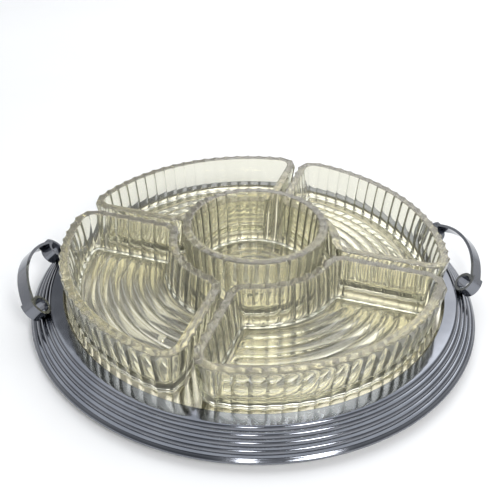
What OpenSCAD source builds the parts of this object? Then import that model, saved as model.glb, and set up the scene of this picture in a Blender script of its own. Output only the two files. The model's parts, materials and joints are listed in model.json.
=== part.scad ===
// Lazy susan turntable: a ribbed metal tray on a ball-bearing base, with four loose
// quarter-ring glass dishes around a loose glass bowl. Millimetres, +Z up, table at z = 0.

/* [Tray] */
// Radius of the tray's outer edge
tray_r = 178; // [175:1:190]
// Height of the rolled outer edge's centre above the table
edge_z = 7.5; // [7:0.5:9]
// Width of the sloping ribbed rim, seen from above
rim_run = 17.4; // [14:0.2:18]
// Height from the rolled edge up to the flat ledge
rim_drop = 15; // [14:0.5:17]
// Number of ribs on the rim
rim_ribs = 5; // [3:1:7]
// Height of one rib above the rim's slope
rib_h = 1.1; // [0.8:0.1:1.6]
// Width of the flat ledge around the well
ledge_w = 7.8; // [6:0.2:9]
// Depth of the well below the ledge
well_depth = 3.5; // [2.5:0.5:4]
// Thickness of the tray's sheet, measured vertically
sheet_t = 1.2; // [1:0.1:1.5]

/* [Handles] */
// Width of the handle strap
strap_w = 10.2; // [8:0.2:12]
// Thickness of the handle strap
strap_t = 2.3; // [1.8:0.1:3]
// Overall length of a handle along the rim
handle_len = 91.3; // [80:0.1:96]
// Outer radius of the curled feet
curl_r = 8; // [7:0.1:8.6]
// Height of the handle's crown above the centres of its curls
crown_h = 21.5; // [19:0.5:23]
// Outer radius of the bend between a foot and the crown
shoulder_r = 13; // [11:0.5:14]

/* [Dishes] */
// Height of a dish
dish_h = 36.4; // [32:0.2:40]
// Direction of the gap between the first and the last dish, in degrees
gap_angle = -24; // [-45:1:0]
// Space from a dish's straight side to the middle of the gap
side_gap = 1.5; // [1:0.1:3]
// Inner radius of the ring of dishes, at the rim
dish_inner_r = 60; // [59.5:0.5:64]
// Width of the rim, from the flutes' ridges to the inside edge
rim_w = 8; // [6:0.5:9]
// How far the outside leans in from the rim to the foot
outer_lean = 4.5; // [3:0.5:5]
// How far the inside leans in from the rim to the bottom fillet
inner_lean = 2.5; // [1.5:0.5:3]
// Thickness of the floor
floor_t = 4.5; // [3.5:0.5:6]
// Depth of the flutes
flute_d = 1.3; // [0.6:0.1:1.6]

/* [Bowl] */
// Outer radius of the centre bowl's rim
bowl_r = 57.6; // [55:0.2:58]
// Height of the centre bowl
bowl_h = 50; // [45:0.5:55]
// Number of flutes around the bowl
bowl_flutes = 36; // [30:1:44]

/* [Base] */
// Radius of the base plate
base_r = 96; // [90:1:110]
// Thickness of the base plate and of the stiffener plate
plate_t = 1.2; // [1:0.1:1.5]
// Height of the rubber feet
foot_h = 3.2; // [3:0.1:3.4]
// Diameter of a bearing ball
ball_d = 6; // [5.8:0.1:6.2]
// Radius of the circle that the ball centres run on
race_r = 60; // [56:1:64]
// Number of bearing balls
ball_count = 24; // [18:1:30]

/* [Hidden] */
$fn = 96;
fit_gap = 0.05;
lip = 0.02;
rest_gap = 0.05;

// tray
bead_r = 1.4;
edge_in = 0.8;
ledge_z = edge_z + rim_drop;
ledge_out_r = tray_r - edge_in - rim_run;
ledge_in_r = ledge_out_r - ledge_w;
well_wall_run = 1.5;
well_r = ledge_in_r - well_wall_run;
floor_z = ledge_z - well_depth;
under_z = floor_z - sheet_t;
rim_angle = atan(rim_drop / rim_run);
rib_steps = 8;
hub_hole_r = 9;

// handles: where a curl's centre is when it stands on the ribs' crests
curl_x = handle_len / 2 - curl_r;
handle_x = 166.5;
curl_pos = sqrt(handle_x * handle_x + curl_x * curl_x);
curl_lift = curl_r + rib_h + rest_gap;
curl_z = ledge_z - (curl_pos - ledge_out_r) * tan(rim_angle) + curl_lift / cos(rim_angle);
curl_turn = atan2(curl_x, handle_x);
curl_open = 60;
shoulder_x = handle_len / 2 - shoulder_r;
crown_c = (shoulder_x * shoulder_x + shoulder_r * shoulder_r - crown_h * crown_h)
    / (2 * (crown_h - shoulder_r));
crown_r = crown_h + crown_c;
shoulder_a = atan2(crown_c, shoulder_x);
rivet_r = 1.6;
rivet_head_r = 2.4;
rivet_head_h = 1.2;

// dishes
dish_r = ledge_in_r - 1;
dish_z = floor_z + rest_gap;
corner_r = 16.5;
fillet_r = 5;
edge_round = 0.7;
foot_w = 5;
recess = 1.3;
side_bow = 0.3;
flute_pitch = 10.8;
corner_steps = 6;

// base, bearing and pivot
plate_z = foot_h;
plate_top = plate_z + plate_t;
base_lip_h = 4.5;
race_w = 16;
race_t = 3;
groove_r = ball_d / 2 + 0.1;
ball_z = plate_top + race_t + 2.1;
upper_z = ball_z + 2.1;
stiff_z = under_z - plate_t;
stiff_r = 118;
stiff_lip = 3;
hub_drop = 3.2;
hub_r = 12;
hub_slope = 3;
hub_z = stiff_z - hub_drop;
hub_top = hub_z + plate_t;
cage_t = 1.2;
cage_w = 18;
stud_r = 3;
thread_r = 2.5;
washer_z = hub_top + 0.2;
washer_t = 0.8;
nut_af = 8;
nut_h = 2.8;
bush_r = 4.6;
bush_flange_r = 7.5;
bush_len = 2;
pad_r = 9;
pad_pos = 84;
pad_recess_r = 5;
pad_recess = 1.6;
pad_rivet_r = 2;
pin_r = 1.2;
pin_head_r = 2;
pin_head_h = 0.9;
pin_recess = 0.8;
pin_pos = 54.8;
pin_count = 3;
stay_pos = 105;
stay_count = 4;
stay_head_r = 3.2;
stay_head_h = 0.7;

// ---------- helpers ----------

function arc(c, r, a0, a1, n) = [for (k = [0:n]) c + r * [cos(a0 + (a1 - a0) * k / n), sin(a0 + (a1 - a0) * k / n)]];

function reversed(list) = [for (k = [len(list) - 1:-1:0]) list[k]];

// Copies of the children at equal angles on a circle
module ring_of(count, radius, start = 0) {
    for (k = [0:count - 1])
        rotate([0, 0, start + 360 * k / count])
            translate([radius, 0, 0])
                children();
}

// A closed solid through equal-length rings of points, from its underside round to its floor
module loft(rings) {
    n = len(rings[0]);
    last = len(rings) - 1;
    sides = [for (j = [0:last - 1], i = [0:n - 1])
        let (a = j * n + i, b = j * n + (i + 1) % n, c = b + n, d = a + n)
        each [[a, d, c], [a, c, b]]];
    bottom = [[for (i = [0:n - 1]) i]];
    top = [[for (i = [n - 1:-1:0]) last * n + i]];
    polyhedron(points = [for (r = rings) each r], faces = concat(sides, bottom, top), convexity = 6);
}

// ---------- base ----------

module base_plate() {
    color("gainsboro")
    difference() {
        rotate_extrude()
            polygon([[stud_r + fit_gap, plate_z], [base_r, plate_z], [base_r, plate_top + base_lip_h],
                [base_r - plate_t, plate_top + base_lip_h], [base_r - plate_t, plate_top],
                [stud_r + fit_gap, plate_top]]);
        ring_of(4, pad_pos, 45)
            cylinder(h = 4 * foot_h, r = pad_rivet_r + fit_gap, center = true);
        ring_of(pin_count, pin_pos)
            cylinder(h = 4 * foot_h, r = pin_r + fit_gap, center = true);
    }
}

module rubber_feet() {
    color("dimgray")
    ring_of(4, pad_pos, 45)
        difference() {
            cylinder(h = foot_h, r = pad_r);
            translate([0, 0, -1])
                cylinder(h = pad_recess + 1, r = pad_recess_r);
            translate([0, 0, -1])
                cylinder(h = foot_h + 2, r = pad_rivet_r + fit_gap);
        }
}

module foot_rivets() {
    color("silver")
    ring_of(4, pad_pos, 45) {
        translate([0, 0, pad_recess - 1])
            cylinder(h = 1, r = pad_recess_r - 1);
        translate([0, 0, pad_recess - 1])
            cylinder(h = plate_top + 2 - pad_recess, r = pad_rivet_r);
        translate([0, 0, plate_top])
            cylinder(h = 1, r = pad_rivet_r + 1.5);
    }
}

// ---------- bearing ----------

// Ring with a round-bottomed ball groove, closed side at z0 and open side at z1
module race(z0, z1) {
    color("lightgray")
    difference() {
        rotate_extrude()
            difference() {
                translate([race_r - race_w / 2, min(z0, z1)])
                    square([race_w, abs(z1 - z0)]);
                translate([race_r, ball_z])
                    circle(r = groove_r);
            }
        ring_of(pin_count, pin_pos) {
            translate([0, 0, min(z0, z1) - 1])
                cylinder(h = abs(z1 - z0) + 2, r = pin_r + fit_gap);
            translate([0, 0, z1 - (z1 > z0 ? pin_head_h : 1)])
                cylinder(h = pin_head_h + 1, r = pin_head_r + fit_gap);
        }
    }
}

// Flush rivets that hold a race to its plate
module race_rivets(plate_face, race_face) {
    up = race_face > plate_face ? 1 : -1;
    color("silver")
    ring_of(pin_count, pin_pos)
        translate([0, 0, plate_face])
            mirror([0, 0, up > 0 ? 0 : 1]) {
                translate([0, 0, -pin_recess])
                    cylinder(h = pin_recess, r = pin_head_r);
                cylinder(h = abs(race_face - plate_face), r = pin_r);
                translate([0, 0, abs(race_face - plate_face) - pin_head_h])
                    cylinder(h = pin_head_h, r = pin_head_r);
            }
}

module lower_race() {
    race(plate_top, plate_top + race_t);
}

module lower_race_rivets() {
    race_rivets(plate_z, plate_top + race_t);
}

module upper_race() {
    race(stiff_z, upper_z);
}

module upper_race_rivets() {
    race_rivets(stiff_z + plate_t - pin_recess, upper_z);
}

module ball_cage() {
    color("khaki")
    difference() {
        translate([0, 0, ball_z - cage_t / 2])
            difference() {
                cylinder(h = cage_t, r = race_r + cage_w / 2);
                translate([0, 0, -1])
                    cylinder(h = cage_t + 2, r = race_r - cage_w / 2);
            }
        ring_of(ball_count, race_r)
            translate([0, 0, ball_z - cage_t])
                cylinder(h = 2 * cage_t, r = ball_d / 2 + fit_gap);
    }
}

module bearing_balls() {
    color("white")
    ring_of(ball_count, race_r)
        translate([0, 0, ball_z])
            sphere(d = ball_d);
}

// ---------- pivot ----------

module pivot_stud() {
    color("silver") {
        translate([0, 0, plate_z - 1])
            cylinder(h = 1, r = 2 * stud_r);
        translate([0, 0, plate_z - 1])
            cylinder(h = washer_z - plate_z + 1, r = stud_r);
        translate([0, 0, plate_z])
            cylinder(h = floor_z - plate_z, r = thread_r);
    }
}

module pivot_bushing() {
    color("goldenrod")
    rotate_extrude()
        polygon([[stud_r + fit_gap, hub_z - bush_len], [bush_r, hub_z - bush_len], [bush_r, hub_z - plate_t],
            [bush_flange_r, hub_z - plate_t], [bush_flange_r, hub_z], [bush_r, hub_z],
            [bush_r, hub_top + 0.1], [stud_r + fit_gap, hub_top + 0.1]]);
}

module retaining_washer() {
    color("lightgray")
    translate([0, 0, washer_z])
        difference() {
            cylinder(h = washer_t, r = 8);
            translate([0, 0, -1])
                cylinder(h = washer_t + 2, r = thread_r + fit_gap);
        }
}

module retaining_nut() {
    color("silver")
    translate([0, 0, washer_z + washer_t])
        difference() {
            cylinder(h = nut_h, r = nut_af / 2 / cos(30), $fn = 6);
            translate([0, 0, -1])
                cylinder(h = nut_h + 2, r = thread_r + fit_gap);
        }
}

// ---------- tray ----------

module stiffener_plate() {
    top = [[bush_r + fit_gap, hub_top], [hub_r, hub_top], [hub_r + hub_slope, stiff_z + plate_t],
        [stiff_r, stiff_z + plate_t], [stiff_r + stiff_lip, stiff_z + plate_t - stiff_lip]];
    color("gainsboro")
    difference() {
        rotate_extrude()
            polygon(concat(top, reversed([for (p = top) p - [0, plate_t]])));
        ring_of(pin_count, pin_pos) {
            cylinder(h = 2 * ledge_z, r = pin_r + fit_gap);
            translate([0, 0, stiff_z + plate_t - pin_recess])
                cylinder(h = 2, r = pin_head_r + fit_gap);
        }
        ring_of(stay_count, stay_pos, 45)
            cylinder(h = 2 * ledge_z, r = pin_r + fit_gap);
    }
}

module stiffener_rivets() {
    color("silver")
    ring_of(stay_count, stay_pos, 45) {
        translate([0, 0, stiff_z - 1])
            cylinder(h = 1, r = pin_head_r);
        translate([0, 0, stiff_z])
            cylinder(h = floor_z - stiff_z, r = pin_r);
        translate([0, 0, floor_z])
            cylinder(h = stay_head_h, r1 = stay_head_r, r2 = stay_head_r - 0.6);
    }
}

// Top face of the sheet, from the hub hole out to the rolled edge
function rim_point(s) = [ledge_out_r + rim_run * s, ledge_z - rim_drop * s]
    + rib_h * abs(sin(180 * rim_ribs * s)) * [sin(rim_angle), cos(rim_angle)];
rim_line = [for (k = [0:rim_ribs * rib_steps]) rim_point(k / (rim_ribs * rib_steps))];
tray_top = concat([[hub_hole_r, floor_z], [well_r, floor_z], [ledge_in_r, ledge_z]], rim_line);

// Places its children at the centre of each curled foot, +Z square to the rim below it
module at_feet(turn) {
    rotate([0, 0, turn])
        for (side = [-1, 1])
            translate([handle_x, side * curl_x, curl_z])
                rotate([0, rim_angle, side * curl_turn])
                    children();
}

module tray() {
    color("lightsteelblue")
    difference() {
        union() {
            rotate_extrude()
                polygon(concat(tray_top, reversed([for (p = tray_top) p - [0, sheet_t]])));
            rotate_extrude()
                translate([tray_r - bead_r, edge_z])
                    circle(r = bead_r, $fn = 32);
        }
        ring_of(stay_count, stay_pos, 45)
            cylinder(h = 2 * ledge_z, r = pin_r + fit_gap);
        for (turn = [0, 180])
            at_feet(turn)
                translate([0, 0, -2 * curl_lift])
                    cylinder(h = 2 * curl_lift, r = rivet_r + fit_gap);
    }
}

// ---------- handles ----------

// Part of a flat ring, outer radius r, from angle a0 round to a1
module strap_arc(r, a0, a1) {
    far = 2 * r;
    steps = max(1, ceil((a1 - a0) / 60));
    intersection() {
        difference() {
            circle(r = r);
            circle(r = r - strap_t);
        }
        polygon(concat([[0, 0]], arc([0, 0], far, a0, a1, steps)));
    }
}

// The strap's edge line: a crown arc, two shoulders and two curls that end in the air
module strap_outline() {
    translate([0, -crown_c])
        strap_arc(crown_r, shoulder_a, 180 - shoulder_a);
    for (side = [0, 1])
        mirror([side, 0]) {
            translate([shoulder_x, 0])
                strap_arc(shoulder_r, -lip, shoulder_a + lip);
            translate([curl_x, 0])
                strap_arc(curl_r, curl_open, 360 + lip);
        }
}

// A handle stands square to the rim's slope, its curls resting on the ribs' crests
module handle(turn) {
    color("lightsteelblue")
    rotate([0, 0, turn])
        difference() {
            translate([handle_x, 0, curl_z])
                rotate([0, rim_angle, 0])
                    rotate([90, 0, 90])
                        linear_extrude(strap_w, center = true)
                            strap_outline();
            at_feet(0)
                translate([0, 0, -2 * curl_lift])
                    cylinder(h = 2 * curl_lift, r = rivet_r + fit_gap);
        }
}

module handle_rivets(turn) {
    inside_r = curl_r - strap_t;
    head_at = fit_gap - sqrt(inside_r * inside_r - rivet_head_r * rivet_head_r);
    tail_at = -curl_lift - sheet_t - rivet_head_h;
    color("silver")
    at_feet(turn) {
        translate([0, 0, head_at])
            cylinder(h = rivet_head_h, r1 = rivet_head_r, r2 = rivet_head_r / 2);
        translate([0, 0, tail_at])
            cylinder(h = head_at - tail_at, r = rivet_r);
        translate([0, 0, tail_at])
            cylinder(h = rivet_head_h, r = rivet_head_r);
    }
}

module right_handle() {
    handle(0);
}

module left_handle() {
    handle(180);
}

module right_handle_rivets() {
    handle_rivets(0);
}

module left_handle_rivets() {
    handle_rivets(180);
}

// ---------- glass ----------

// Corner centres of a dish in its own frame: its straight sides lie along +X and +Y
oc_y = side_gap + corner_r;
oc_x = sqrt(pow(dish_r - corner_r, 2) - oc_y * oc_y);
oc_a = atan2(oc_y, oc_x);
ic_y = side_gap + corner_r;
ic_x = sqrt(pow(dish_inner_r + corner_r, 2) - ic_y * ic_y);
ic_a = atan2(ic_y, ic_x);
outer_flutes = round((90 - 2 * oc_a) * PI / 180 * dish_r / flute_pitch);
inner_flutes = round((90 - 2 * ic_a) * PI / 180 * dish_inner_r / flute_pitch);
side_flutes = round((oc_x - ic_x) / flute_pitch);

// Every second point of a fluted stretch is a groove
function groove(k, depth) = (k % 2) * depth;

function outer_side(i, d) = [for (k = [1:2 * outer_flutes - 1])
    let (a = oc_a + (90 - 2 * oc_a) * k / (2 * outer_flutes), r = dish_r - i - groove(k, d))
    r * [cos(a), sin(a)]];

function inner_side(i, d) = [for (k = [1:2 * inner_flutes - 1])
    let (a = 90 - ic_a - (90 - 2 * ic_a) * k / (2 * inner_flutes), r = dish_inner_r + i + groove(k, d))
    r * [cos(a), sin(a)]];

// The sides bow in a little, as pressed glass does
function straight_side(i, d) = [for (k = [1:2 * side_flutes - 1])
    let (s = k / (2 * side_flutes))
    [ic_x + (oc_x - ic_x) * s, side_gap + i + groove(k, d) + side_bow * sin(180 * s)]];

function swap(list) = [for (p = list) [p[1], p[0]]];

// A dish's outline, anticlockwise, at inset i from the rim's outer edge, with flutes d deep
function dish_outline(i, d) = concat(
    arc([oc_x, oc_y], corner_r - i, -90, oc_a, corner_steps),
    outer_side(i, d),
    arc([oc_y, oc_x], corner_r - i, 90 - oc_a, 180, corner_steps),
    reversed(swap(straight_side(i, d))),
    arc([ic_y, ic_x], corner_r - i, 180, 270 - ic_a, corner_steps),
    inner_side(i, d),
    arc([ic_x, ic_y], corner_r - i, 180 + ic_a, 270, corner_steps),
    straight_side(i, d));

function bowl_outline(i, d) = [for (k = [0:2 * bowl_flutes - 1])
    let (a = 180 * k / bowl_flutes, r = bowl_r - i - groove(k, d))
    r * [cos(a), sin(a)]];

// Inset, height and flute depth of each ring, from the underside's recess to the inside floor
function glass_section(h) = [
    [outer_lean + foot_w, recess, 0],
    [outer_lean + foot_w - 1, 0, 0],
    [outer_lean, 0, flute_d],
    [0, h - edge_round, flute_d],
    [edge_round, h, flute_d],
    [rim_w - edge_round, h, 0],
    [rim_w, h - edge_round, 0],
    [rim_w + inner_lean, floor_t + fillet_r, 0],
    [rim_w + inner_lean + fillet_r * 0.3, floor_t + fillet_r * 0.3, 0],
    [rim_w + inner_lean + fillet_r, floor_t, 0]];

module dish(place) {
    color("palegoldenrod", 0.5)
    rotate([0, 0, gap_angle + 90 * place])
        translate([0, 0, dish_z])
            loft([for (s = glass_section(dish_h)) [for (p = dish_outline(s[0], s[2])) [p[0], p[1], s[1]]]]);
}

module dish_back_right() {
    dish(0);
}

module dish_back_left() {
    dish(1);
}

module dish_front_left() {
    dish(2);
}

module dish_front_right() {
    dish(3);
}

module centre_bowl() {
    color("palegoldenrod", 0.5)
    translate([0, 0, dish_z])
        loft([for (s = glass_section(bowl_h)) [for (p = bowl_outline(s[0], s[2])) [p[0], p[1], s[1]]]]);
}

base_plate();
rubber_feet();
foot_rivets();
lower_race();
lower_race_rivets();
pivot_stud();
retaining_washer();
retaining_nut();
ball_cage();
bearing_balls();
upper_race();
upper_race_rivets();
stiffener_plate();
stiffener_rivets();
pivot_bushing();
tray();
left_handle();
right_handle();
left_handle_rivets();
right_handle_rivets();
dish_back_right();
dish_back_left();
dish_front_left();
dish_front_right();
centre_bowl();
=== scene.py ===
# Lazy susan: replaces the CAD glass and tray with finer meshes, and gives every piece its material,
# a floor, lights and a camera. Shapes are worked out in millimetres and made in metres.
import math

import bmesh
import bpy
import numpy as np
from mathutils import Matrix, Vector
from mathutils.geometry import delaunay_2d_cdt
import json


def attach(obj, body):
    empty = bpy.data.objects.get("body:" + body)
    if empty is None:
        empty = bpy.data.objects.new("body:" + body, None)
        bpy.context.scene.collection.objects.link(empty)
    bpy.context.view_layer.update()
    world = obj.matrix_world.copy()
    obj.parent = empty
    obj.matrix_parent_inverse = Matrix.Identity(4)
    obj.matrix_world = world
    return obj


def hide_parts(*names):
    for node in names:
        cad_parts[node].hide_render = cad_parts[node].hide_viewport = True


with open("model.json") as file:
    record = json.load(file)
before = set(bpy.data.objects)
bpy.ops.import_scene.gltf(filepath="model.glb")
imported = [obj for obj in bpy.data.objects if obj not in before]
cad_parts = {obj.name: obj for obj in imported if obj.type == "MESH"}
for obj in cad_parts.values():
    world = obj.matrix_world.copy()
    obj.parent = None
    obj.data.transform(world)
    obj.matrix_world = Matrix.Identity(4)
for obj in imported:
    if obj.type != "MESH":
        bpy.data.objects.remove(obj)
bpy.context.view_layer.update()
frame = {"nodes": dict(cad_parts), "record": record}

MM = 0.001


# ---------- mesh helpers ----------

def make_mesh(name, verts, faces, smooth_angle=None):
    """Object from vertices in metres. Edges sharper than smooth_angle degrees stay hard."""
    mesh = bpy.data.meshes.new(name)
    mesh.from_pydata([tuple(v) for v in verts], [], faces)
    mesh.validate()
    mesh.update()
    obj = bpy.data.objects.new(name, mesh)
    bpy.context.scene.collection.objects.link(obj)
    if smooth_angle is not None:
        mesh.shade_smooth()
        mesh.set_sharp_from_angle(angle=math.radians(smooth_angle))
    return obj


def lathe(name, profile, steps, smooth_angle):
    """Closed (r, z) profile turned about the Z axis. Millimetres."""
    profile = np.array(profile, float) * MM
    n = len(profile)
    verts = []
    for k in range(steps):
        a = 2 * math.pi * k / steps
        verts += [(r * math.cos(a), r * math.sin(a), z) for r, z in profile]
    faces = []
    for k in range(steps):
        b = (k + 1) % steps
        for i in range(n):
            j = (i + 1) % n
            faces.append((k * n + i, k * n + j, b * n + j, b * n + i))
    obj = make_mesh(name, verts, faces, smooth_angle)
    outward(obj)
    return obj


def outward(obj):
    """Turns every face to look out of the closed mesh."""
    bm = bmesh.new()
    bm.from_mesh(obj.data)
    bmesh.ops.recalc_face_normals(bm, faces=bm.faces)
    bm.to_mesh(obj.data)
    bm.free()


def fillet(p0, p1, p2, radius, steps=5):
    """Rounds the corner p1 between p0 and p2 with a quadratic curve."""
    p0, p1, p2 = (np.array(p, float) for p in (p0, p1, p2))
    a = p1 + (p0 - p1) / np.linalg.norm(p0 - p1) * radius
    b = p1 + (p2 - p1) / np.linalg.norm(p2 - p1) * radius
    out = []
    for k in range(steps + 1):
        t = k / steps
        out.append((1 - t) ** 2 * a + 2 * t * (1 - t) * p1 + t ** 2 * b)
    return out


# ---------- sizes, millimetres ----------

# Heights over the table: the tray's well, its ledge, its outer edge, and the glass that stands in the well
FLOOR_Z = 19.0
LEDGE_Z = 22.5
EDGE_Z = 7.5
DISH_Z = FLOOR_Z + 0.05

# Tray: radii of the hub hole, the well's wall and the ledge, then the ribbed slope and the rolled edge
SHEET_T = 1.2
HUB_HOLE_R = 9.0
WELL_R = 150.5
LEDGE_IN_R = 152.0
LEDGE_OUT_R = 159.8
SLOPE_RUN = 17.4
RIBS = 5
RIB_H = 1.1
RIB_STEPS = 16
WELL_FILLET = 0.8
LEDGE_FILLET = 0.4
BEAD_R = 1.4
BEAD_CENTRE_R = 176.6
BEAD_STEPS = 18
BEAD_FROM = 70  # degrees, as is the sweep
BEAD_SWEEP = 250
TRAY_STEPS = 360

# Dishes and bowl: outline
DISH_H = 36.4
BOWL_H = 50.0
DISH_R = 151.0
DISH_INNER_R = 60.0
SIDE_GAP = 1.5  # half the gap between two dishes
CORNER_R = 16.5
GAP_ANGLE = -24.0  # degrees from the line of the handles to a gap between dishes
BOWL_R = 57.6

# Dishes and bowl: section, where the outside leans by OUTER_LEAN and the inside by INNER_LEAN
RIM_W = 8.0
RIM_EDGE = 1.2
RIM_DIP = 0.45
RIM_DIP_H = 2.0
OUTER_LEAN = 4.5
INNER_LEAN = 2.5
FLOOR_T = 4.5
FILLET_R = 5.0
FOOT_W = 5.0
FOOT_EDGE = 0.9
RECESS = 1.3
WALL_STEPS = 10
INNER_STEPS = 4
FILLET_STEPS = 6
GLASS_SMOOTH = 28

# Flutes. FULLNESS under 1 makes the panes, and the rings below, flatter on top than a sine wave
FULLNESS = 0.8
FLUTE_D = 1.3
FLUTE_PITCH = 10.8
FLUTE_STEPS = 8
CORNER_FLUTES = 2
BOWL_FLUTES = 36

# Raised rings on the floors
RIDGE_PITCH = 9.3
RIDGE_START = 75.35
RIDGE_COUNT = 6
RIDGE_H = 1.7
RIDGE_FADE = 2.0
RIDGE_RADII = tuple(RIDGE_START + RIDGE_PITCH * (k + 0.5) for k in range(RIDGE_COUNT))
BOWL_RING_RADII = (12, 20, 28)
BOWL_RING_W = 2.0
BOWL_RING_H = 0.8


# ---------- glass ----------

def pane(t):
    """Depth of a concave pane at t, 0 at its sharp ridges and 1 in its middle."""
    return math.sin(math.pi * (t % 1.0)) ** FULLNESS


def stretch(count, steps):
    """Parameters along a fluted stretch, with each one's depth in its pane."""
    return [(k / (count * steps), pane(k / steps)) for k in range(count * steps + 1)]


def arc(cx, cy, radius, a0, a1, count, outside=1):
    """Fluted stretch of an arc. Its normals point to its centre, or away from it if outside is -1."""
    out = []
    for t, d in stretch(count, FLUTE_STEPS)[:-1]:
        a = a0 + (a1 - a0) * t
        c, s = math.cos(a), math.sin(a)
        out.append((cx + radius * c, cy + radius * s, -c * outside, -s * outside, d))
    return out


def side(start, end, normal, count):
    """Fluted stretch of a straight side."""
    return [(start[0] + (end[0] - start[0]) * t, start[1] + (end[1] - start[1]) * t, *normal, d)
            for t, d in stretch(count, FLUTE_STEPS)[:-1]]


def dish_outline():
    """Points with (position, inward normal, pane depth), anticlockwise, in the dish's own frame."""
    near = SIDE_GAP + CORNER_R
    outer = math.sqrt((DISH_R - CORNER_R) ** 2 - near ** 2)
    outer_a = math.atan2(near, outer)
    inner = math.sqrt((DISH_INNER_R + CORNER_R) ** 2 - near ** 2)
    inner_a = math.atan2(near, inner)
    quarter = math.pi / 2
    n_outer = round((quarter - 2 * outer_a) * DISH_R / FLUTE_PITCH)
    n_side = round((outer - inner) / FLUTE_PITCH)
    n_inner = round((quarter - 2 * inner_a) * DISH_INNER_R / FLUTE_PITCH)
    n = CORNER_FLUTES
    out = arc(outer, near, CORNER_R, -quarter, outer_a, n)
    out += arc(0, 0, DISH_R, outer_a, quarter - outer_a, n_outer)
    out += arc(near, outer, CORNER_R, quarter - outer_a, 2 * quarter, n)
    out += side((SIDE_GAP, outer), (SIDE_GAP, inner), (1.0, 0.0), n_side)
    out += arc(near, inner, CORNER_R, 2 * quarter, 3 * quarter - inner_a, n)
    out += arc(0, 0, DISH_INNER_R, quarter - inner_a, inner_a, n_inner, -1)
    out += arc(inner, near, CORNER_R, 2 * quarter + inner_a, 3 * quarter, n)
    out += side((inner, SIDE_GAP), (outer, SIDE_GAP), (0.0, 1.0), n_side)
    return np.array(out)


def bowl_outline():
    return np.array(arc(0, 0, BOWL_R, 0, 2 * math.pi, BOWL_FLUTES))


def glass_section(h):
    """(inset, height, flute depth) from the recess under the foot round to the edge of the inside floor."""
    foot = OUTER_LEAN + FOOT_W
    deep = FLUTE_D
    edge_z = h - RIM_EDGE
    recess = [(foot + 1.5, RECESS, 0), (foot, RECESS * 0.75, 0), (foot - 0.6, RECESS * 0.2, 0),
              (foot - 1.2, 0, 0)]
    foot_edge = [(OUTER_LEAN + 0.5, 0, deep * 0.9), (OUTER_LEAN + 0.12, 0.25, deep),
                 (OUTER_LEAN, FOOT_EDGE, deep)]
    out = recess + foot_edge
    for k in range(1, WALL_STEPS):
        s = k / WALL_STEPS
        out.append((OUTER_LEAN * (1 - s), FOOT_EDGE + (edge_z - FOOT_EDGE) * s, deep))
    out += [(0.0, edge_z, deep), (0.1, h - 0.6, deep * 0.95), (0.45, h - 0.18, deep * 0.85),
            (1.0, h - 0.02, deep * 0.8), (2.2, h, deep * 0.55), (4.0, h, 0.3),
            (RIM_W - 2.0, h, 0), (RIM_W - 0.9, h - 0.05, 0), (RIM_W - 0.3, h - 0.4, 0),
            (RIM_W, edge_z, 0)]
    fillet_z = FLOOR_T + FILLET_R
    for k in range(1, INNER_STEPS + 1):
        s = k / INNER_STEPS
        out.append((RIM_W + INNER_LEAN * s, edge_z + (fillet_z - edge_z) * s, 0))
    for k in range(1, FILLET_STEPS + 1):
        a = math.pi / 2 * k / FILLET_STEPS
        out.append((RIM_W + INNER_LEAN + FILLET_R * (1 - math.cos(a)),
                    fillet_z - FILLET_R * math.sin(a), 0))
    return out


def floor_ridges(r, radii, width, height):
    """Height of low rounded ridges at the given radii."""
    z = 0.0
    for c in radii:
        d = abs(r - c) / width
        if d < 1:
            z = max(z, height * math.cos(d * math.pi / 2) ** FULLNESS)
    return z


def fill(ring, extra, height_of):
    """Triangulates the inside of a ring with extra points. Returns the new points and the faces."""
    n = len(ring)
    pts = [Vector((float(x), float(y))) for x, y in list(ring) + list(extra)]
    edges = [(i, (i + 1) % n) for i in range(n)]
    verts, _, faces, origin, _, _ = delaunay_2d_cdt(pts, edges, [], 1, 1e-7)
    index = {}
    fresh = []
    for i, src in enumerate(origin):
        ours = [s for s in src if s < n]
        if ours:
            index[i] = ours[0]
        else:
            index[i] = n + len(fresh)
            fresh.append((verts[i].x, verts[i].y, height_of(verts[i].x, verts[i].y)))
    return fresh, [tuple(index[i] for i in f) for f in faces]


def glass_piece(name, outline, h, turn, grid, ridge):
    """Pressed-glass piece: a fluted outline lofted through its section, and a ridged floor."""
    c, s = math.cos(math.radians(turn)), math.sin(math.radians(turn))
    n = len(outline)
    rings = []
    for inset, z, depth in glass_section(h):
        d = inset + outline[:, 4] * depth
        dip = max(0.0, (z - h + RIM_DIP_H) / RIM_DIP_H) * max(0.0, 1 - inset / RIM_W) * RIM_DIP
        rings.append(np.column_stack([outline[:, 0] + outline[:, 2] * d,
                                      outline[:, 1] + outline[:, 3] * d, z - dip * outline[:, 4]]))
    verts = [tuple(p) for ring in rings for p in ring]
    faces = []
    for j in range(len(rings) - 1):
        a, b = j * n, (j + 1) * n
        faces += [(a + i, a + (i + 1) % n, b + (i + 1) % n, b + i) for i in range(n)]

    def cap(ring_at, height_of, points):
        ring = rings[ring_at][:, :2]
        base = len(verts)
        fresh, tris = fill(ring, points, height_of)
        verts.extend(fresh)
        first = (len(rings) - 1 if ring_at < 0 else ring_at) * n
        faces.extend(tuple(first + i if i < n else base + i - n for i in t) for t in tris)

    cap(-1, lambda x, y: FLOOR_T + ridge(x, y), grid(rings[-1][:, :2]))
    cap(0, lambda x, y: RECESS, [])
    verts = [((c * x - s * y) * MM, (s * x + c * y) * MM, (DISH_Z + z) * MM) for x, y, z in verts]
    obj = make_mesh(name, verts, faces, GLASS_SMOOTH)
    outward(obj)
    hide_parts(name)
    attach(obj, name + "_body")
    return obj


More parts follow.
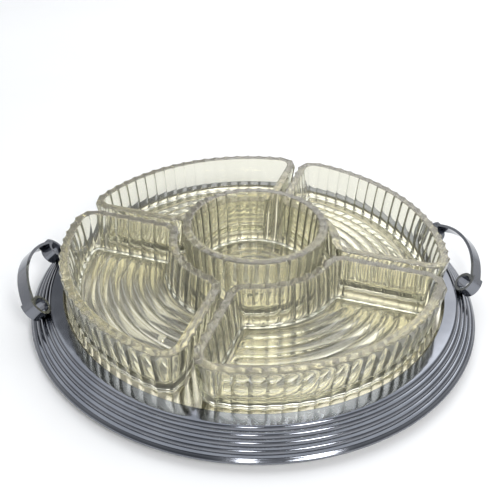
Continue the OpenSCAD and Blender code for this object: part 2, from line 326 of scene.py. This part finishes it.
def clear_of(ring, x, y, gap):
    """True where the point is inside the ring and further than gap from its points."""
    nx, ny = np.roll(ring[:, 0], -1), np.roll(ring[:, 1], -1)
    px, py = ring[:, 0], ring[:, 1]
    cross = (py > y) != (ny > y)
    with np.errstate(divide="ignore", invalid="ignore"):
        at = px + (y - py) / (ny - py) * (nx - px)
    if np.count_nonzero(cross & (x < at)) % 2 == 0:
        return False
    return np.min(np.hypot(px - x, py - y)) > gap


def dish_grid(ring):
    """Polar grid of points inside the dish's floor, twelve to a ridge."""
    step_r, end_r, step_deg, gap = RIDGE_PITCH / 12, 136.0, 2.0, 0.5
    out = []
    for r in np.arange(RIDGE_START, end_r, step_r):
        for a in np.radians(np.arange(0.0, 90.0, step_deg)):
            x, y = r * math.cos(a), r * math.sin(a)
            if clear_of(ring, x, y, gap):
                out.append((x, y))
    return out


def bowl_grid(ring):
    """Points on circles inside the bowl's round floor."""
    step_r, spacing, gap = 1.5, 2.5, 1.0
    out = [(0.0, 0.0)]
    end_r = float(np.min(np.hypot(ring[:, 0], ring[:, 1]))) - gap
    for k, r in enumerate(np.arange(step_r, end_r, step_r)):
        count = max(8, int(2 * math.pi * r / spacing))
        for i in range(count):
            a = 2 * math.pi * (i + k / 2) / count
            out.append((r * math.cos(a), r * math.sin(a)))
    return out


def dish_ridge(x, y):
    """Ridges follow the tray's circle and fade before the dish's walls."""
    r = math.hypot(x, y)
    from_side = min(x, y) - SIDE_GAP - RIM_W - INNER_LEAN - FILLET_R
    from_outside = DISH_R - r - 18.0
    fade = min(1.0, max(0.0, (from_side - 1.0) / RIDGE_FADE))
    fade *= min(1.0, max(0.0, from_outside / RIDGE_FADE))
    return fade * floor_ridges(r, RIDGE_RADII, RIDGE_PITCH / 2, RIDGE_H)


def bowl_ridge(x, y):
    return floor_ridges(math.hypot(x, y), BOWL_RING_RADII, BOWL_RING_W, BOWL_RING_H)


dish_shape = dish_outline()
dish_names = ("dish_back_right", "dish_back_left", "dish_front_left", "dish_front_right")
dishes = [glass_piece(name, dish_shape, DISH_H, GAP_ANGLE + 90 * k, dish_grid, dish_ridge)
          for k, name in enumerate(dish_names)]
bowl = glass_piece("centre_bowl", bowl_outline(), BOWL_H, 0, bowl_grid, bowl_ridge)


# ---------- tray ----------

def tray_profile():
    """Top face from the hub hole out over the ribs, the rolled edge, and the underside back."""
    drop = LEDGE_Z - EDGE_Z
    slope = math.atan2(drop, SLOPE_RUN)
    top = [(r, FLOOR_Z) for r in (HUB_HOLE_R, 12.0, 60.0, 120.0)]
    wall_foot, wall_top = (WELL_R, FLOOR_Z), (LEDGE_IN_R, LEDGE_Z)
    top += fillet(top[-1], wall_foot, wall_top, WELL_FILLET)
    top += fillet(wall_foot, wall_top, (LEDGE_OUT_R, LEDGE_Z), LEDGE_FILLET)
    top += [(LEDGE_OUT_R - 1.3, LEDGE_Z)]
    for k in range(RIBS * RIB_STEPS + 1):
        s = k / (RIBS * RIB_STEPS)
        lift = RIB_H * abs(math.sin(math.pi * RIBS * s))
        top.append((LEDGE_OUT_R + SLOPE_RUN * s + lift * math.sin(slope),
                    LEDGE_Z - drop * s + lift * math.cos(slope)))
    under = [(r, z - SHEET_T) for r, z in top if r < BEAD_CENTRE_R - 0.4]
    top = [(r, z) for r, z in top if r < BEAD_CENTRE_R - 0.2]
    bead = []
    for k in range(BEAD_STEPS + 1):
        a = math.radians(BEAD_FROM - BEAD_SWEEP * k / BEAD_STEPS)
        bead.append((BEAD_CENTRE_R + BEAD_R * math.cos(a), EDGE_Z + BEAD_R * math.sin(a)))
    return top + bead + under[::-1]


tray = lathe("tray_sheet", tray_profile(), TRAY_STEPS, 50)
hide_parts("tray")
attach(tray, "turntable")


# ---------- materials ----------

# Colours, each as the low and high end of its noise
CHROME = ((0.19, 0.20, 0.225, 1), (0.24, 0.25, 0.275, 1))
TRAY_RIM = ((0.18, 0.19, 0.215, 1), (0.23, 0.24, 0.265, 1))
# The well's colour below is a painted reflection of the straw glass in the tray's flat floor, not the
# chrome's own colour
WELL_PAINTED_REFLECTION = ((0.56, 0.54, 0.475, 1), (0.64, 0.62, 0.55, 1))
STEEL = ((0.45, 0.46, 0.48, 1), (0.6, 0.6, 0.6, 1))
BALL_STEEL = ((0.6, 0.61, 0.63, 1), (0.7, 0.7, 0.72, 1))
BRASS = ((0.6, 0.44, 0.18, 1), (0.75, 0.58, 0.28, 1))
RUBBER = ((0.015, 0.015, 0.017, 1), (0.035, 0.035, 0.037, 1))
GLASS_CLEAR = ((0.95, 0.935, 0.845, 1), (0.98, 0.965, 0.89, 1))
GLASS_WORN = ((0.84, 0.765, 0.62, 1), (0.97, 0.92, 0.80, 1))
PALE_FLOOR = ((0.93, 0.93, 0.93, 1), (0.96, 0.96, 0.96, 1))

# Radii, in millimetres, between which the tray's well, painted with a cream reflection of the glass, turns
# into its darker rim
PAINTED_REFLECTION_RADII = (151.2, 152.4)
# Depths under the rim, in millimetres, between which the glass is worn, and how it changes there
WEAR_DEPTHS = (1.5, 0.3)
GLASS_WEAR = (("Roughness", 0.02, 0.13), ("Transmission Weight", 0.94, 0.86))


def material(name):
    mat = bpy.data.materials.new(name)
    mat.use_nodes = True
    tree = mat.node_tree
    tree.nodes.clear()
    out = tree.nodes.new("ShaderNodeOutputMaterial")
    shader = tree.nodes.new("ShaderNodeBsdfPrincipled")
    tree.links.new(shader.outputs["BSDF"], out.inputs["Surface"])
    return mat, tree, shader, out


def object_noise(tree, scale, detail):
    """Noise over the object's own coordinates."""
    coord = tree.nodes.new("ShaderNodeTexCoord")
    noise = tree.nodes.new("ShaderNodeTexNoise")
    noise.inputs["Scale"].default_value = scale
    noise.inputs["Detail"].default_value = detail
    tree.links.new(coord.outputs["Object"], noise.inputs["Vector"])
    return noise.outputs["Fac"]


def noise_into(tree, scale, detail, low, high, target, span=(0.3, 0.7)):
    """Drives one socket between two colours with noise, whose part inside span fills the range."""
    ramp = tree.nodes.new("ShaderNodeValToRGB")
    for stop, position, color in zip(ramp.color_ramp.elements, span, (low, high)):
        stop.position = position
        stop.color = color
    tree.links.new(object_noise(tree, scale, detail), ramp.inputs["Fac"])
    tree.links.new(ramp.outputs["Color"], target)


def grey(v):
    return (v, v, v, 1)


def bump(tree, shader, scale, strength, distance):
    node = tree.nodes.new("ShaderNodeBump")
    node.inputs["Strength"].default_value = strength
    node.inputs["Distance"].default_value = distance
    tree.links.new(object_noise(tree, scale, 3), node.inputs["Height"])
    tree.links.new(node.outputs["Normal"], shader.inputs["Normal"])


def map_range(tree, source, low, high, to_low=0.0, to_high=1.0):
    """Socket that goes from to_low to to_high while source goes from low to high."""
    node = tree.nodes.new("ShaderNodeMapRange")
    for socket, value in (("From Min", low), ("From Max", high), ("To Min", to_low), ("To Max", to_high)):
        node.inputs[socket].default_value = value
    tree.links.new(source, node.inputs["Value"])
    return node.outputs["Result"]


def mix_into(tree, factor, target):
    """Mixes two colours into the target. Returns the sockets for factor 0 and factor 1."""
    mix = tree.nodes.new("ShaderNodeMix")
    mix.data_type = "RGBA"
    tree.links.new(factor, mix.inputs["Factor"])
    tree.links.new(mix.outputs[2], target)
    return mix.inputs[6], mix.inputs[7]


def metal(name, colors, rough_low, rough_high, scale=40):
    mat, tree, shader, _ = material(name)
    shader.inputs["Metallic"].default_value = 1.0
    noise_into(tree, scale, 4, *colors, shader.inputs["Base Color"])
    noise_into(tree, scale * 3, 5, grey(rough_low), grey(rough_high), shader.inputs["Roughness"])
    return mat


def tray_metal():
    """Chrome whose well is painted with a cream reflection of the glass dishes, so it is brighter than its
    rim.
    """
    mat, tree, shader, _ = material("tray_chrome")
    shader.inputs["Metallic"].default_value = 1.0
    coord = tree.nodes.new("ShaderNodeTexCoord")
    flat = tree.nodes.new("ShaderNodeVectorMath")
    flat.operation = "MULTIPLY"
    flat.inputs[1].default_value = (1, 1, 0)
    radius = tree.nodes.new("ShaderNodeVectorMath")
    radius.operation = "LENGTH"
    tree.links.new(coord.outputs["Object"], flat.inputs[0])
    tree.links.new(flat.outputs["Vector"], radius.inputs[0])
    rim_share = map_range(tree, radius.outputs["Value"], *(r * MM for r in PAINTED_REFLECTION_RADII))
    well, rim = mix_into(tree, rim_share, shader.inputs["Base Color"])
    # Painted reflection: the well's cream colour stands in for the glass dishes reflected in the flat floor
    noise_into(tree, 25, 2, *WELL_PAINTED_REFLECTION, well, span=(0.0, 1.0))
    noise_into(tree, 30, 4, *TRAY_RIM, rim)
    noise_into(tree, 90, 5, grey(0.09), grey(0.16), shader.inputs["Roughness"])
    return mat


def black_rubber():
    mat, tree, shader, _ = material("rubber")
    noise_into(tree, 120, 4, *RUBBER, shader.inputs["Base Color"])
    shader.inputs["Roughness"].default_value = 0.75
    bump(tree, shader, 600, 0.3, 0.0003)
    return mat


def straw_glass(name, rim_z):
    """Straw-tinted pressed glass whose rim, at height rim_z, is dulled by wear."""
    mat, tree, shader, out = material(name)
    shader.inputs["IOR"].default_value = 1.5
    coord = tree.nodes.new("ShaderNodeTexCoord")
    split = tree.nodes.new("ShaderNodeSeparateXYZ")
    tree.links.new(coord.outputs["Object"], split.inputs["Vector"])
    wear = map_range(tree, split.outputs["Z"], *((rim_z - depth) * MM for depth in WEAR_DEPTHS))
    clear_color, worn_color = mix_into(tree, wear, shader.inputs["Base Color"])
    noise_into(tree, 18, 3, *GLASS_CLEAR, clear_color)
    noise_into(tree, 90, 3, *GLASS_WORN, worn_color)
    for socket, clear, worn in GLASS_WEAR:
        tree.links.new(map_range(tree, wear, 0, 1, clear, worn), shader.inputs[socket])
    bump(tree, shader, 60, 0.02, 0.0006)
    absorb = tree.nodes.new("ShaderNodeVolumeAbsorption")
    absorb.inputs["Color"].default_value = (0.80, 0.80, 0.46, 1)
    absorb.inputs["Density"].default_value = 14.0
    tree.links.new(absorb.outputs["Volume"], out.inputs["Volume"])
    return mat


def pale_floor():
    mat, tree, shader, _ = material("pale_floor")
    noise_into(tree, 3, 3, *PALE_FLOOR, shader.inputs["Base Color"])
    shader.inputs["Roughness"].default_value = 0.9
    return mat


dish_glass = straw_glass("straw_glass", DISH_Z + DISH_H)
bowl_glass = straw_glass("straw_glass_bowl", DISH_Z + BOWL_H)
tray_chrome = tray_metal()
BY_SLOT = {
    "chrome": metal("chrome", CHROME, 0.10, 0.18, 30),
    "steel": metal("zinc_steel", STEEL, 0.3, 0.45),
    "ball_steel": metal("ball_steel", BALL_STEEL, 0.06, 0.14),
    "brass": metal("brass", BRASS, 0.25, 0.4),
    "rubber": black_rubber(),
    "glass": dish_glass,
}
slots = {s["node"]: s["material_slot"] for s in frame["record"]["subparts"]}
for name, obj in frame["nodes"].items():
    obj.data.materials.clear()
    obj.data.materials.append(BY_SLOT[slots[name]])
frame["nodes"]["stiffener_rivets"].data.materials[0] = tray_chrome
tray.data.materials.append(tray_chrome)
bowl.data.materials.append(bowl_glass)
for dish in dishes:
    dish.data.materials.append(dish_glass)


# ---------- floor, light, camera, in metres ----------

FLOOR_HALF = 6
SKY_LOW = (0.15, (1.0, 1.0, 1.0, 1))
SKY_HIGH = (0.75, (0.22, 0.235, 0.26, 1))
LENS_MM = 44.69
SENSOR_MM = 36
CAMERA_AT = (-0.0526, -0.41195, 0.32055)
CAMERA_LOOK = (0.1013, 0.8251, -0.5559)
CAMERA_ROLL = 1.2
CAMERA_SHIFT = -0.0043
EXPOSURE = -0.3

# name, place, aimed at, width, length, watts, colour
LIGHTS = (
    ("softbox", (0, 0.95, 2.2), (0, 0.95, 0), 4.2, 2.7, 50, (0.96, 0.98, 1.0)),
    ("streak_left", (-0.16, -1.04, 0.97), (0, -0.17, 0), 0.14, 0.5, 4, (1, 1, 1)),
    ("streak_right", (0.42, -1.0, 0.93), (0, -0.17, 0), 0.3, 0.5, 9, (1, 1, 1)),
    ("key", (0.5, 1.2, 1.0), (0, 0, 0), 1.2, 1.0, 7, (1, 1, 1)),
)


def area_light(name, place, target, size_x, size_y, watts, color):
    data = bpy.data.lights.new(name, "AREA")
    data.shape = "RECTANGLE"
    data.size = size_x
    data.size_y = size_y
    data.energy = watts
    data.color = color
    obj = bpy.data.objects.new(name, data)
    obj.location = place
    obj.rotation_euler = (Vector(target) - Vector(place)).to_track_quat("-Z", "Y").to_euler()
    bpy.context.scene.collection.objects.link(obj)


def studio_world():
    """White near the horizon, darker overhead."""
    world = bpy.data.worlds.new("studio")
    world.use_nodes = True
    sky = world.node_tree
    coord = sky.nodes.new("ShaderNodeTexCoord")
    split = sky.nodes.new("ShaderNodeSeparateXYZ")
    ramp = sky.nodes.new("ShaderNodeValToRGB")
    for stop, (position, color) in zip(ramp.color_ramp.elements, (SKY_LOW, SKY_HIGH)):
        stop.position = position
        stop.color = color
    background = sky.nodes["Background"]
    background.inputs["Strength"].default_value = 1.0
    sky.links.new(coord.outputs["Generated"], split.inputs["Vector"])
    sky.links.new(split.outputs["Z"], ramp.inputs["Fac"])
    sky.links.new(ramp.outputs["Color"], background.inputs["Color"])
    return world


def studio_camera():
    data = bpy.data.cameras.new("camera")
    data.lens = LENS_MM
    data.sensor_width = SENSOR_MM
    data.clip_start = 0.01
    data.shift_x = CAMERA_SHIFT
    obj = bpy.data.objects.new("camera", data)
    obj.location = CAMERA_AT
    obj.rotation_euler = Vector(CAMERA_LOOK).to_track_quat("-Z", "Y").to_euler()
    obj.rotation_euler.rotate_axis("Z", math.radians(CAMERA_ROLL))
    bpy.context.scene.collection.objects.link(obj)
    return obj


corners = [(x * FLOOR_HALF, y * FLOOR_HALF, 0) for x, y in ((-1, -1), (1, -1), (1, 1), (-1, 1))]
floor = make_mesh("floor", corners, [(0, 1, 2, 3)])
floor.data.materials.append(pale_floor())
for light in LIGHTS:
    area_light(*light)
scene = bpy.context.scene
scene.world = studio_world()
scene.camera = studio_camera()
scene.view_settings.view_transform = "Standard"
scene.view_settings.exposure = EXPOSURE
